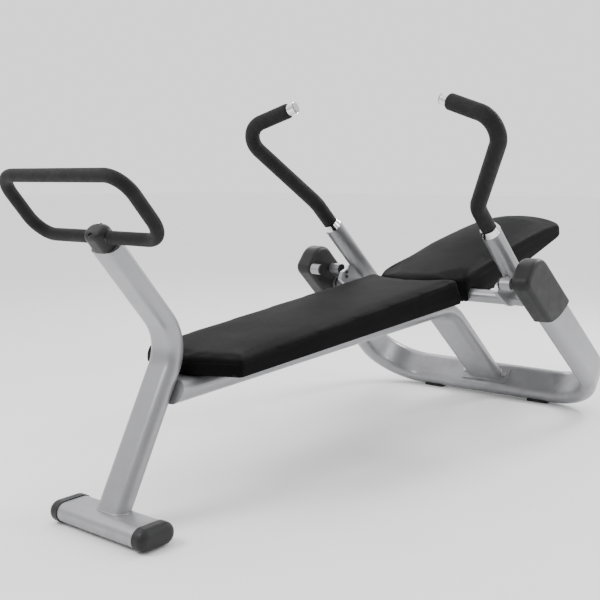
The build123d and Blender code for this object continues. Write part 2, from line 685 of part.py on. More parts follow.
for side, word in ((-1, "right"), (1, "left")):
    arm_plane = Plane(origin=(arm_foot_x, side * arm_y, arm_foot_z), x_dir=(0, 1, 0), z_dir=arm_dir)

    with BuildPart() as arm_tube:
        with BuildSketch(arm_plane):
            Circle(arm_od / 2)
            Circle(arm_od / 2 - tube_wall, mode=Mode.SUBTRACT)
        extrude(amount=tube_end)
    save(arm_tube, f"arm_tube_{word}")

    with BuildPart() as arm_bracket:
        with BuildSketch(side_plane(side * arm_y + bracket_thickness / 2)):
            Polygon(*[(front_x + x, z) for x, z in bracket_outline], align=None)
        extrude(amount=bracket_thickness)
        fillet(arm_bracket.edges().filter_by(Axis.Y), radius=5)
        with BuildSketch(side_plane(side * arm_y + bracket_thickness / 2)):
            with Locations((pivot_x, pivot_z)):
                Circle(pivot_tube_od / 2)
            with Locations(*bracket_bolt_places):
                Circle(3.0)
        extrude(amount=bracket_thickness, mode=Mode.SUBTRACT)
        with BuildSketch(arm_plane.offset(-10)):
            Circle(arm_od / 2)
        extrude(amount=arm_length, mode=Mode.SUBTRACT)
    save(arm_bracket, f"arm_bracket_{word}")

    with BuildPart() as arm_collar:
        with BuildSketch(arm_plane.offset(tube_end)):
            Circle(arm_od / 2 + 0.5)
        with BuildSketch(arm_plane.offset(arm_length)):
            Circle(grip_od / 2 + 1.5)
        loft()
        with BuildSketch(arm_plane.offset(tube_end)):
            Circle(arm_od / 2 - tube_wall)
        extrude(amount=-collar_skirt)
        with BuildSketch(arm_plane.offset(tube_end - collar_skirt)):
            Circle(bar_od / 2)
        extrude(amount=collar_skirt + collar_length, mode=Mode.SUBTRACT)
    save(arm_collar, f"arm_collar_{word}")

    bar_root = Vector(arm_foot_x, side * arm_y, arm_foot_z) + arm_dir * (arm_length - 40)
    grip_root = Vector(arm_foot_x, side * arm_y, arm_foot_z) + arm_dir * arm_length
    elbow_rise = (arm_foot_x - front_x - 1062.0) * tan(radians(arm_angle))
    elbow = Vector(front_x + 1062.0, side * arm_y, arm_foot_z + elbow_rise)
    outer = Vector(front_x + 896.0, side * 422.0, 845.0)
    bar_tip = Vector(front_x + 927.0, side * 233.0, 909.0)
    inward = (bar_tip - outer).normalized()
    grip_tip = bar_tip - inward * (sleeve_length + disc_thickness)

    with BuildPart() as handle_bar:
        with BuildLine() as bar_path:
            bar_end = bar_tip - inward * disc_thickness
            FilletPolyline(bar_root, elbow, outer, bar_end, radius=handle_corner_radii)
        with BuildSketch(Plane(origin=bar_root, x_dir=(0, 1, 0), z_dir=arm_dir)):
            Circle(bar_od / 2)
            Circle(bar_od / 2 - 2.5, mode=Mode.SUBTRACT)
        sweep(path=bar_path.line)
    save(handle_bar, f"handle_bar_{word}")

    with BuildPart() as hand_grip:
        with BuildLine() as grip_path:
            FilletPolyline(grip_root, elbow, outer, grip_tip, radius=handle_corner_radii)
        with BuildSketch(Plane(origin=grip_root, x_dir=(0, 1, 0), z_dir=arm_dir)):
            Circle(grip_od / 2)
            Circle(bar_od / 2, mode=Mode.SUBTRACT)
        sweep(path=grip_path.line)
    save(hand_grip, f"hand_grip_{word}")

    with BuildPart() as end_sleeve:
        with BuildSketch(Plane(origin=grip_tip, z_dir=inward)):
            Circle(16.0)
            Circle(bar_od / 2, mode=Mode.SUBTRACT)
        extrude(amount=sleeve_length)
    save(end_sleeve, f"handle_end_sleeve_{word}")

with BuildPart() as arm_bracket_bolts:
    for side in (-1, 1):
        bolt_face = y_plane(side * (arm_y - bracket_thickness / 2))
        with BuildSketch(bolt_face):
            with Locations(*[(-x, z) for x, z in bracket_bolt_places]):
                Circle(3.0)
        extrude(amount=side * bracket_thickness)
        with BuildSketch(bolt_face):
            with Locations(*[(-x, z) for x, z in bracket_bolt_places]):
                Circle(5.2)
        extrude(amount=-side * 3.5)
save(arm_bracket_bolts, "arm_bracket_bolts")

with BuildPart() as arm_end_plugs:
    with BuildSketch(arm_foot_plane):
        with Locations((-arm_y, 0), (arm_y, 0)):
            Circle(arm_od / 2 - tube_wall)
    extrude(amount=10)
    with BuildSketch(arm_foot_plane):
        with Locations((-arm_y, 0), (arm_y, 0)):
            Circle(arm_od / 2)
    extrude(amount=-4)
save(arm_end_plugs, "arm_end_plugs")

with BuildPart() as handle_end_discs:
    for side in (-1, 1):
        bar_tip = Vector(front_x + 927.0, side * 233.0, 909.0)
        inward = (bar_tip - Vector(front_x + 896.0, side * 422.0, 845.0)).normalized()
        with BuildSketch(Plane(origin=bar_tip, z_dir=-inward)):
            Circle(15.0)
        extrude(amount=disc_thickness)
save(handle_end_discs, "handle_end_discs")

# ---- back pad -----------------------------------------------------------------------------------

rail_half, rail_depth, rail_wall = 25.0, 24.0, 2.5
rail_foot_x, rail_head_x = pivot_x + 6.0, front_x + 1660.0


def rail_outline(inset):
    """Corners of the rail's side view, set in from its top and bottom."""
    stations = (rail_foot_x, knee[0], rail_head_x)
    lower = [(x, back_bottom(x) + inset) for x in stations]
    upper = [(x, back_bottom(x) + rail_depth - inset) for x in reversed(stations)]
    return lower + upper


def rail_plane(x):
    """Plane on the underside of the rail, with local x across the bench and facing up into the pad."""
    rise = (head_low[1] - knee[1]) / (head_low[0] - knee[0])
    return Plane(origin=(x, 0, back_bottom(x)), x_dir=(0, 1, 0), z_dir=(-rise, 0, 1))


pad_screw_places = (front_x + 1450.0, front_x + 1545.0, front_x + 1640.0)
pad_screw_reach = 26.5
with BuildPart() as back_rail:
    with BuildSketch(side_plane(rail_half)):
        Polygon(*rail_outline(0), align=None)
    extrude(amount=2 * rail_half)
    with BuildSketch(side_plane(rail_half - rail_wall)):
        Polygon(*rail_outline(rail_wall), align=None)
    extrude(amount=2 * (rail_half - rail_wall), mode=Mode.SUBTRACT)
    with BuildSketch(y_plane(-rail_half, pivot_x, pivot_z)):
        Circle(pivot_tube_od / 2)
    extrude(amount=2 * rail_half, mode=Mode.SUBTRACT)
    for x in pad_screw_places:
        with BuildSketch(rail_plane(x)):
            Circle(4.0)
        extrude(amount=pad_screw_reach, mode=Mode.SUBTRACT)
save(back_rail, "back_rail")

with BuildPart() as back_pad_screws:
    for x in pad_screw_places:
        with BuildSketch(rail_plane(x)):
            Circle(4.0)
        extrude(amount=pad_screw_reach)
        with BuildSketch(rail_plane(x)):
            Circle(7.0)
        extrude(amount=-5)
save(back_pad_screws, "back_pad_screws")


def back_outline(inset):
    """Plan of the back pad, with a round nose and rounded corners at the head end."""
    half = pad_half - inset
    radius = lip_radius - inset
    nose_x = lip_centre_x - sqrt(radius**2 - half**2)
    with BuildSketch() as outline:
        with BuildLine():
            FilletPolyline(
                (nose_x, half), (back_head_x - inset, half), (back_head_x - inset, -half), (nose_x, -half),
                radius=back_corner_radius - inset,
            )
            ThreePointArc((nose_x, -half), (lip_centre_x - radius, 0), (nose_x, half))
        make_face()
    return outline.sketch


wide = pad_half + spare
with BuildPart() as pan_blank:
    with BuildSketch(Plane.XY.offset(200)):
        add(back_outline(board_inset))
    extrude(amount=500)
    with BuildSketch(side_plane(wide)):
        Polygon(
            (pan_front_x, back_bottom(pan_front_x)), knee, head_low, pan_top_head, pan_top_knee,
            (pan_front_x, pan_foot_z), align=None,
        )
    extrude(amount=2 * wide, mode=Mode.INTERSECT)

with BuildPart() as pivot_notch:
    with BuildSketch(side_plane(notch_half)):
        Polygon(
            (front_x + 1100, 300), (notch_x, 300), (notch_x, notch_z), nose_back, nose_low,
            (front_x + 1100, nose_low[1]), align=None,
        )
    extrude(amount=2 * notch_half)

with BuildPart() as nose_bevel:
    bevel_height = bevel_top_z - bevel_foot_z
    with BuildSketch(Plane(origin=(lip_centre_x, 0, 0), x_dir=(-1, 0, 0), z_dir=(0, 1, 0))):
        Polygon(
            (lip_radius, bevel_foot_z), (lip_radius + 10, bevel_foot_z), (lip_radius + 10, bevel_top_z),
            (lip_radius - bevel_height, bevel_top_z), align=None,
        )
    revolve(axis=Axis((lip_centre_x, 0, 0), (0, 0, 1)))
    split(bisect_by=Plane.YZ.offset(pan_front_x), keep=Keep.BOTTOM)

with BuildPart() as tube_groove:
    with BuildSketch(y_plane(-pad_half - 5, pivot_x, pivot_z)):
        Circle(groove_radius)
    extrude(amount=2 * pad_half + 10)

with BuildPart() as back_pan:
    add(pan_blank.part)
    add(pivot_notch.part, mode=Mode.SUBTRACT)
    add(tube_groove.part, mode=Mode.SUBTRACT)
    with BuildSketch(side_plane(rail_half)):
        Polygon(*rail_outline(0), align=None)
    extrude(amount=2 * rail_half, mode=Mode.SUBTRACT)
    for x in pad_screw_places:
        with BuildSketch(rail_plane(x)):
            Circle(4.0)
        extrude(amount=pad_screw_reach, mode=Mode.SUBTRACT)
save(back_pan, "back_pan")

with BuildPart() as back_cushion:
    for (x, z), crown in zip(back_crease, back_crown):
        with BuildSketch(Plane(origin=(front_x + x, 0, 0), x_dir=(0, 1, 0), z_dir=(1, 0, 0))):
            with BuildLine():
                Polyline((-wide, z), (-wide, 340), (wide, 340), (wide, z))
                ThreePointArc((wide, z), (0, z + crown), (-wide, z))
            make_face()
    loft(ruled=True)
    with BuildSketch(Plane.XY.offset(200)):
        add(back_outline(0))
    extrude(amount=500, mode=Mode.INTERSECT)
    with BuildSketch(side_plane(wide)):
        Polygon(
            nose_low, nose_back, side_low, knee, head_low, (head_low[0], 700), (nose_low[0], 700), align=None,
        )
    extrude(amount=2 * wide, mode=Mode.INTERSECT)
    for cut in (nose_bevel, pan_blank, pivot_notch, tube_groove):
        add(cut.part, mode=Mode.SUBTRACT)
save(back_cushion, "back_cushion")
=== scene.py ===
"""Looks of the abdominal bench: upholstery, foam grips, paint, chrome, plastic, camera and studio."""

import json
from math import asin, atan, cos, pi, radians, sin, sqrt, tan

import bpy
import numpy as np
from mathutils import Matrix, Vector, noise
from mathutils.bvhtree import BVHTree


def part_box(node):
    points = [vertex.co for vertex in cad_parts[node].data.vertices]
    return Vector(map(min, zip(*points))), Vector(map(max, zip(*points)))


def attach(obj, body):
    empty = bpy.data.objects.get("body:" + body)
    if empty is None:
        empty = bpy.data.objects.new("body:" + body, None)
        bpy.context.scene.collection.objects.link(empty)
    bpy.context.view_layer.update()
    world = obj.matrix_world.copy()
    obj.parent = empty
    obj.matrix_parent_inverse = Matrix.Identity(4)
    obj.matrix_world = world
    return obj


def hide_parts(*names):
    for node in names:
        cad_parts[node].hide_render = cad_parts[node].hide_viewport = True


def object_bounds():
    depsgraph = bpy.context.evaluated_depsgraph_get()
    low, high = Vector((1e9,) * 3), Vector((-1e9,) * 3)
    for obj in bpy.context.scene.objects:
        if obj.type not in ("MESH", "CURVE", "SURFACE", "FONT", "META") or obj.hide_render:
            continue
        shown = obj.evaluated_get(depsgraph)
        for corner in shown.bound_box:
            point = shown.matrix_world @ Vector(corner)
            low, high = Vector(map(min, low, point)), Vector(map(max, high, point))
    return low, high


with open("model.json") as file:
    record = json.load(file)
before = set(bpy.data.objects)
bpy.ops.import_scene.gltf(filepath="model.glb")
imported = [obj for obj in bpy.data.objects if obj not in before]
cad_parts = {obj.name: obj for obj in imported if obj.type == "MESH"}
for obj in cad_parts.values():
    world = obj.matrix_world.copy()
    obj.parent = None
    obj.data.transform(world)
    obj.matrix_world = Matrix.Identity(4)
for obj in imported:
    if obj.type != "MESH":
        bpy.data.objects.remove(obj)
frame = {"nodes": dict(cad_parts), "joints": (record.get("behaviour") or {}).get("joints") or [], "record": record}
cad_low, cad_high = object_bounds()
nodes = frame["nodes"]
scene = bpy.context.scene

FIXED, SWING = "fixed_frame", "swing_frame"
SIDES = ((-1, "right"), (1, "left"))

# ---- stations in metres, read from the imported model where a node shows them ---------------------

pivot = Vector(frame["joints"][0]["pos_m"])
X0 = pivot.x - 1.267  # distances along the bench start here, at the front of the foot stabiliser

# Both pads in plan: half width, and the back pad's round nose in the bench pad's hollow end.
PAD_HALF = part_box("bench_cushion")[1].y
LIP_X = pivot.x + 0.0757
LIP_RADIUS, LIP_GAP = 0.1877, 0.014
FOOT_END, SHOULDER, FOOT_HALF = 0.238, 0.280, 0.030
BACK_END, BACK_CORNER = 1.893, 0.035

# Bench pad from the side: where its underside and its top start, and how steeply they rise.
UNDERSIDE_START, UNDERSIDE_HEIGHT, UNDERSIDE_SLOPE = 0.290, 0.300, 0.064
TOP_HEIGHT, TOP_SLOPE = 0.311, 0.101

# Back pad from the side: the line of its top edge, and its underside with the pocket for the pan.
CREASE_X = np.array([1.150, 1.214, 1.295, 1.381, 1.510, 1.634, 1.767, 1.900]) + X0
CREASE_Z = np.array([0.423, 0.432, 0.451, 0.471, 0.503, 0.527, 0.549, 0.560])
BOTTOM_X = np.array([1.150, 1.205, 1.235, 1.405, 1.900]) + X0
BOTTOM_Z = np.array([0.412, 0.398, 0.361, 0.385, 0.5285])
BACK_SLOPE = 0.28
POCKET_HALF, POCKET_START, POCKET_END = 0.1395, 1.20, 1.886

# Arm tubes, and the handle bars that go on from them.
ARM_Y, ARM_ANGLE = 0.265, radians(41.3)
ARM_FOOT = Vector((pivot.x + 0.098, 0, 0.372))
ARM_LENGTH = 0.320
ARM_DIR = Vector((-cos(ARM_ANGLE), 0, sin(ARM_ANGLE)))
ELBOW_X = X0 + 1.062
HANDLE_OUT = (0.896, 0.422, 0.845)
HANDLE_TIP = (0.927, 0.233, 0.909)
HANDLE_BENDS, BARE_TIP = (0.070, 0.055), 0.0255
GRIP_RADIUS, BAR_RADIUS = 0.0213, 0.0137

# Grab loop: the middle of its bottom bar, its lean, and its corners from there.
LOOP_FOOT = Vector((X0 + 0.038, 0, 0.601))
LOOP_ANGLE = radians(130)
LOOP_UP = Vector((cos(LOOP_ANGLE), 0, sin(LOOP_ANGLE)))
LOOP_START, LOOP_WIDE, LOOP_TOP_WIDE, LOOP_HIGH, LOOP_BEND = 0.030, 0.188, 0.183, 0.155, 0.048
LOOP_COVER_RADIUS, LOOP_BAR_RADIUS = 0.0132, 0.0111

# Tubes at the welds: width and height of each flat-oval section, and angles to the floor.
POST_SECTION, POST_ANGLE = (0.080, 0.040), radians(62.2)
BEAM_SECTION, BEAM_ANGLE, BRACE_ANGLE = (0.118, 0.046), radians(3.0), radians(39.8)

# Welds around the pivot tube on both faces of each arm bracket, their middles a little proud of both.
PIVOT_TUBE_RADIUS, BRACKET_HALF, PROUD = 0.0190, 0.006, 0.0002


# ---- materials ----------------------------------------------------------------------------------

class Shader:
    """A material with a Principled shader, and short ways to add the nodes that feed it."""

    def __init__(self, name, **uniform):
        self.material = bpy.data.materials.new(name)
        self.material.use_nodes = True
        self.tree = self.material.node_tree
        self.tree.nodes.clear()
        out = self.tree.nodes.new("ShaderNodeOutputMaterial")
        self.bsdf = self.tree.nodes.new("ShaderNodeBsdfPrincipled")
        self.tree.links.new(self.bsdf.outputs[0], out.inputs["Surface"])
        for key, value in uniform.items():
            self.bsdf.inputs[key.replace("_", " ")].default_value = value
        self.place = self.tree.nodes.new("ShaderNodeTexCoord").outputs["Object"]

    def add(self, kind, sockets=None, **settings):
        made = self.tree.nodes.new(kind)
        for key, value in settings.items():
            setattr(made, key, value)
        for key, value in (sockets or {}).items():
            if isinstance(value, bpy.types.NodeSocket):
                self.tree.links.new(value, made.inputs[key])
            else:
                made.inputs[key].default_value = value
        return made

    def stretch(self, scale):
        return self.add("ShaderNodeMapping", {"Vector": self.place, "Scale": scale}).outputs[0]

    def noise(self, scale, detail=4.0, rough=0.55, vector=None, distortion=0.0):
        sockets = {
            "Vector": vector or self.place, "Scale": scale, "Detail": detail,
            "Roughness": rough, "Distortion": distortion,
        }
        return self.add("ShaderNodeTexNoise", sockets).outputs["Fac"]

    def cells(self, scale, feature="F1"):
        sockets = {"Vector": self.place, "Scale": scale}
        return self.add("ShaderNodeTexVoronoi", sockets, feature=feature).outputs["Distance"]

    def ramp(self, value, low, high, out_low=0.0, out_high=1.0):
        sockets = {
            "Value": value, "From Min": low, "From Max": high, "To Min": out_low, "To Max": out_high,
        }
        return self.add("ShaderNodeMapRange", sockets).outputs[0]

    def blend(self, amount, first, second):
        made = self.add("ShaderNodeMix", data_type="RGBA")
        for index, value in ((0, amount), (6, first), (7, second)):
            if isinstance(value, bpy.types.NodeSocket):
                self.tree.links.new(value, made.inputs[index])
            else:
                made.inputs[index].default_value = value if index == 0 else (*value, 1.0)
        return made.outputs[2]

    def plus(self, first, second):
        return self.add("ShaderNodeMath", {0: first, 1: second}, operation="ADD").outputs[0]

    def times(self, first, second):
        return self.add("ShaderNodeMath", {0: first, 1: second}, operation="MULTIPLY").outputs[0]

    def bump(self, height, strength, distance, under=None):
        sockets = {"Height": height, "Strength": strength, "Distance": distance}
        if under is not None:
            sockets["Normal"] = under
        return self.add("ShaderNodeBump", sockets).outputs[0]

    def feed(self, name, value):
        self.tree.links.new(value, self.bsdf.inputs[name])


def silver_paint():
    """Textured silver powder coat: metal flakes, orange peel, light scuffs, and darker, rougher patches near the
    floor.
    """
    s = Shader("silver_paint", Metallic=0.6, Coat_Weight=0.12, Coat_Roughness=0.25)
    patches = s.ramp(s.noise(5.0, 3.0), 0.3, 0.7)
    body = s.blend(patches, (0.270, 0.270, 0.283), (0.310, 0.310, 0.324))
    flakes = s.ramp(s.cells(2600.0), 0.05, 0.45, 0.0, 0.22)
    body = s.blend(flakes, body, (0.40, 0.40, 0.42))
    scuffs = s.ramp(s.noise(34.0, 6.0, 0.7, s.stretch((1.0, 1.0, 9.0))), 0.66, 0.74, 0.0, 0.35)
    height = s.add("ShaderNodeSeparateXYZ", {0: s.place}).outputs[2]
    low_down = s.ramp(height, 0.02, 0.20, 1.0, 0.0)
    # Patches darken the paint and make it rougher low down. They fade out from 2 to 20 cm above the floor.
    low_patches = s.times(low_down, s.ramp(s.noise(22.0, 5.0), 0.45, 0.75))
    body = s.blend(s.times(scuffs, 0.5), body, (0.40, 0.40, 0.41))
    body = s.blend(s.times(low_patches, 0.30), body, (0.13, 0.127, 0.123))
    s.feed("Base Color", body)
    rough = s.ramp(s.noise(48.0, 4.0), 0.3, 0.7, 0.30, 0.40)
    s.feed("Roughness", s.plus(rough, s.times(s.plus(scuffs, low_patches), 0.22)))
    peel = s.bump(s.noise(420.0, 2.0), 0.10, 0.0006)
    s.feed("Normal", s.bump(s.noise(2200.0, 1.0), 0.06, 0.0002, peel))
    return s.material


def chrome(name="chrome_plate", tint=(0.78, 0.78, 0.80), rough=(0.10, 0.22), brushed=0.0):
    """Plated or bare metal: smudges, and fine lines along the bench, deeper where it is brushed."""
    s = Shader(name, Metallic=1.0)
    smudges = s.ramp(s.noise(60.0, 5.0, 0.6), 0.35, 0.75)
    s.feed("Base Color", s.blend(smudges, tint, tuple(0.90 * c for c in tint)))
    lines = s.ramp(s.noise(900.0, 3.0, 0.6, s.stretch((0.06, 1.0, 1.0))), 0.3, 0.7)
    s.feed("Roughness", s.plus(s.ramp(smudges, 0.0, 1.0, *rough), s.times(lines, 0.10 * brushed)))
    s.feed("Normal", s.bump(lines, 0.05 + 0.10 * brushed, 0.0002))
    return s.material


def moulded(name, dark, light, rough, grain=1500.0, depth=0.30):
    """Moulded plastic with a fine spark-eroded texture and rubbed high spots."""
    s = Shader(name, Specular_IOR_Level=0.26)
    patches = s.ramp(s.noise(14.0, 4.0), 0.35, 0.7)
    specks = s.ramp(s.noise(700.0, 3.0), 0.45, 0.62)
    s.feed("Base Color", s.blend(s.plus(patches, s.times(specks, 0.4)), dark, light))
    s.feed("Roughness", s.ramp(s.noise(30.0, 5.0), 0.3, 0.7, rough - 0.06, rough + 0.08))
    fine = s.bump(s.cells(grain, "SMOOTH_F1"), depth, 0.0003)
    s.feed("Normal", s.bump(s.noise(260.0, 3.0), 0.08, 0.0008, fine))
    return s.material


def vinyl():
    """Upholstery vinyl: a fine pebbled grain with painted shade in its creases, a soft sheen and slightly polished
    patches.
    """
    s = Shader("black_vinyl", Specular_IOR_Level=0.04)
    pebbles = s.cells(620.0, "SMOOTH_F1")
    warped = s.noise(240.0, 4.0, 0.6, distortion=0.4)
    patches = s.ramp(s.noise(6.0, 4.0), 0.35, 0.7)
    body = s.blend(patches, (0.0026, 0.0026, 0.0028), (0.0046, 0.0046, 0.0048))
    # Painted shade: the creases of the grain are coloured darker. They are also a little rougher.
    shaded_creases = s.ramp(pebbles, 0.25, 0.62, 0.0, 0.45)
    s.feed("Base Color", s.blend(shaded_creases, body, (0.003, 0.003, 0.003)))
    polish = s.ramp(s.noise(9.0, 5.0, 0.6), 0.3, 0.7, 0.52, 0.58)
    s.feed("Roughness", s.plus(polish, s.times(shaded_creases, 0.16)))
    broad = s.bump(s.noise(38.0, 3.0), 0.08, 0.0012)
    grain = s.bump(pebbles, 0.42, 0.0006, broad)
    s.feed("Normal", s.bump(warped, 0.22, 0.0005, grain))
    return s.material


def foam():
    """Closed-cell foam grip: matt, with fine pores that hold painted shade, and a skin that is a little uneven."""
    s = Shader("black_foam", Specular_IOR_Level=0.18, Sheen_Weight=0.02, Sheen_Roughness=0.5)
    shaded_pores = s.cells(1400.0)
    patches = s.ramp(s.noise(40.0, 4.0), 0.3, 0.7)
    body = s.blend(patches, (0.0085, 0.0085, 0.0085), (0.0130, 0.0130, 0.0130))
    # Painted shade: the colour darkens towards the middle of each pore.
    s.feed("Base Color", s.blend(s.ramp(shaded_pores, 0.0, 0.25, 0.6, 0.0), body, (0.005, 0.005, 0.005)))
    s.feed("Roughness", s.ramp(s.noise(55.0, 4.0), 0.3, 0.7, 0.59, 0.74))
    skin = s.bump(s.noise(120.0, 4.0, 0.6), 0.25, 0.0012)
    s.feed("Normal", s.bump(shaded_pores, 0.45, 0.0005, skin))
    return s.material


def wood():
    """Dark stained plywood board: the grain along the bench still shows through the stain."""
    s = Shader("plywood", Specular_IOR_Level=0.15)
    streaks = s.noise(9.0, 6.0, 0.65, s.stretch((1.2, 16.0, 16.0)), 0.6)
    fibre = s.noise(60.0, 4.0, 0.6, s.stretch((2.0, 30.0, 30.0)))
    body = s.blend(s.ramp(streaks, 0.3, 0.7), (0.030, 0.024, 0.019), (0.018, 0.015, 0.012))
    s.feed("Base Color", s.blend(s.ramp(fibre, 0.4, 0.7, 0.0, 0.5), body, (0.010, 0.008, 0.006)))
    s.feed("Roughness", s.ramp(fibre, 0.3, 0.7, 0.60, 0.78))
    s.feed("Normal", s.bump(fibre, 0.25, 0.0004))
    return s.material


def thread():
    """Sewing thread: twisted strands across the stitch."""
    s = Shader("black_thread", Specular_IOR_Level=0.15)
    twist = s.noise(1600.0, 2.0, 0.5, s.stretch((1.0, 2.5, 1.0)))
    strands = s.ramp(twist, 0.3, 0.7)
    s.feed("Base Color", s.blend(strands, (0.005, 0.005, 0.005), (0.013, 0.013, 0.013)))
    s.feed("Roughness", s.ramp(twist, 0.3, 0.7, 0.55, 0.75))
    s.feed("Normal", s.bump(twist, 0.5, 0.0003))
    return s.material


def grey(level, blue=0.0):
    """Grey colour with a little more blue in it."""
    return (level, level, level + blue)


MATERIALS = {
    "silver_paint": silver_paint(),
    "steel_core": chrome("steel_core", (0.50, 0.50, 0.51), (0.26, 0.36), 1.0),
    "chrome_plate": chrome(),
    "zinc_fastener": chrome("zinc_fastener", (0.56, 0.56, 0.54), (0.30, 0.44), 0.6),
    "black_fastener": moulded("black_fastener", grey(0.012), grey(0.024), 0.42, 2200.0, 0.15),
    "black_plastic": moulded("black_plastic", grey(0.0120, 0.0005), grey(0.0190, 0.0005), 0.44),
    "grey_plastic": moulded("grey_plastic", grey(0.22, 0.005), grey(0.30, 0.005), 0.42),
    "black_vinyl": vinyl(),
    "black_foam": foam(),
    "black_rubber": moulded("black_rubber", grey(0.013), grey(0.022), 0.72, 900.0, 0.45),
    "plywood": wood(),
    "black_thread": thread(),
}

for part in frame["record"]["subparts"]:
    piece = nodes[part["node"]]
    if not piece.material_slots:
        piece.data.materials.append(None)
    for place in piece.material_slots:
        place.material = MATERIALS[part["material_slot"]]


# ---- mesh helpers -------------------------------------------------------------------------------

def new_piece(name, verts, faces, material, body):
    """Smooth-shaded mesh object that rides on a body."""
    mesh = bpy.data.meshes.new(name)
    mesh.from_pydata([tuple(v) for v in verts], [], faces)
    mesh.validate()
    mesh.update()
    mesh.polygons.foreach_set("use_smooth", [True] * len(mesh.polygons))
    mesh.materials.append(MATERIALS[material])
    made = bpy.data.objects.new(name, mesh)
    scene.collection.objects.link(made)
    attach(made, body)
    return made


def band(first, second, around):
    """Faces between two rings of points, given the number of each ring's first point."""
    turns = [(k, (k + 1) % around) for k in range(around)]
    return [(first + k, first + j, second + j, second + k) for k, j in turns]


def end_caps(first, last, around):
    """Faces that close a tube's first and last rings."""
    return [tuple(first + k for k in reversed(range(around))), tuple(last + k for k in range(around))]


def distances(points):
    """Distance from the first point to each point, along the line."""
    co = np.array([tuple(p) for p in points])
    return np.concatenate([[0], np.cumsum(np.linalg.norm(np.diff(co, axis=0), axis=1))])


def filleted(points, radii, step=0.004):
    """Points along straight runs joined by tangent arcs, close together on the arcs."""
    points = [Vector(p) for p in points]
    out = [points[0]]
    for before, corner, after, radius in zip(points, points[1:], points[2:], radii):
        back, ahead = (before - corner).normalized(), (after - corner).normalized()
        half_turn = (pi - back.angle(ahead)) / 2
        reach = radius * tan(half_turn)
        centre = corner + (back + ahead).normalized() * (radius / cos(half_turn))
        first, last = corner + back * reach, corner + ahead * reach
        count = max(4, int(2 * half_turn * radius / step))
        for i in range(count + 1):
            turn = (first - centre).normalized().slerp((last - centre).normalized(), i / count)
            out.append(centre + turn * radius)
    out.append(points[-1])
    return out


def resample(points, step):
    """The same line with points at even spacing."""
    co = np.array([tuple(p) for p in points])
    along = distances(points)
    count = max(2, int(round(along[-1] / step)) + 1)
    want = np.linspace(0, along[-1], count)
    return [Vector(p) for p in np.stack([np.interp(want, along, co[:, k]) for k in range(3)], 1)]


def frames_along(points, closed=False):
    """Tangent and two side directions at each point, turning as little as they can."""
    count = len(points)
    tangents = []
    for i in range(count):
        ahead = points[(i + 1) % count] if closed else points[min(i + 1, count - 1)]
        behind = points[(i - 1) % count] if closed else points[max(i - 1, 0)]
        tangents.append((ahead - behind).normalized())
    side = tangents[0].orthogonal().normalized()
    out = []
    for tangent in tangents:
        side = (side - tangent * side.dot(tangent)).normalized()
        out.append((tangent, side, tangent.cross(side)))
    return out


def sleeve(name, points, outer, inner, lip, material, body, around=48, uneven=0.0):
    """Foam sleeve along a line, with rounded ends that close in on the bar inside it."""
    axes = frames_along(points)
    along = [0.0]
    for first, second in zip(points, points[1:]):
        along.append(along[-1] + (second - first).length)
    quarter = [pi / 2 * k / 5 for k in range(6)]
    waves = 26.0
    verts, rings = [], []

    def ring(centre, side, up, radius):
        rings.append(len(verts))
        for k in range(around):
            turn = 2 * pi * k / around
            out = side * cos(turn) + up * sin(turn)
            swell = uneven * noise.noise((centre + out * radius) * waves) if radius == outer else 0.0
            verts.append(centre + out * (radius + swell))

    for i, (centre, (tangent, side, up)) in enumerate(zip(points, axes)):
        if i == 0:
            ring(centre, side, up, inner)
            for turn in quarter:
                ring(centre + tangent * lip * (1 - cos(turn)), side, up, outer - lip * (1 - sin(turn)))
        elif i == len(points) - 1:
            for turn in reversed(quarter):
                ring(centre - tangent * lip * (1 - cos(turn)), side, up, outer - lip * (1 - sin(turn)))
            ring(centre, side, up, inner)
        elif lip < along[i] < along[-1] - lip:
            ring(centre, side, up, outer)
    for centre, (_, side, up) in reversed(list(zip(points, axes))[1:-1]):
        ring(centre, side, up, inner)
    faces = [face for a, b in zip(rings, rings[1:] + rings[:1]) for face in band(a, b, around)]
    return new_piece(name, verts, faces, material, body)


def bead(name, points, radius, material, body, closed=True, ripple=0.0):
    """Thin round bead along a line: a weld with its ripples, or a sewn welt."""
    around, pitch, thin_end = 8, 0.0045, 0.35
    step = max(radius * 0.7, 0.0011)
    line = resample(list(points) + ([points[0]] if closed else []), step)
    if closed:
        line = line[:-1]
    count = len(line)
    verts, faces = [], []
    for i, (centre, (_, side, up)) in enumerate(zip(line, frames_along(line, closed))):
        size = radius * (1 + ripple * cos(2 * pi * i * step / pitch))
        if not closed and i in (0, count - 1):
            size = radius * thin_end
        for k in range(around):
            turn = 2 * pi * k / around
            verts.append(centre + (side * cos(turn) + up * sin(turn)) * size)
    for i in range(count if closed else count - 1):
        faces += band(i * around, ((i + 1) % count) * around, around)
    if not closed:
        faces += end_caps(0, (count - 1) * around, around)
    return new_piece(name, verts, faces, material, body)


# Rings of one stitch: share of its length, thickness, and height above the surface, in thread radii.
STITCH_RINGS = ((0.0, 0.25, -0.6), (0.12, 0.9, 0.1), (0.5, 1.0, 0.45), (0.88, 0.9, 0.1), (1.0, 0.25, -0.6))


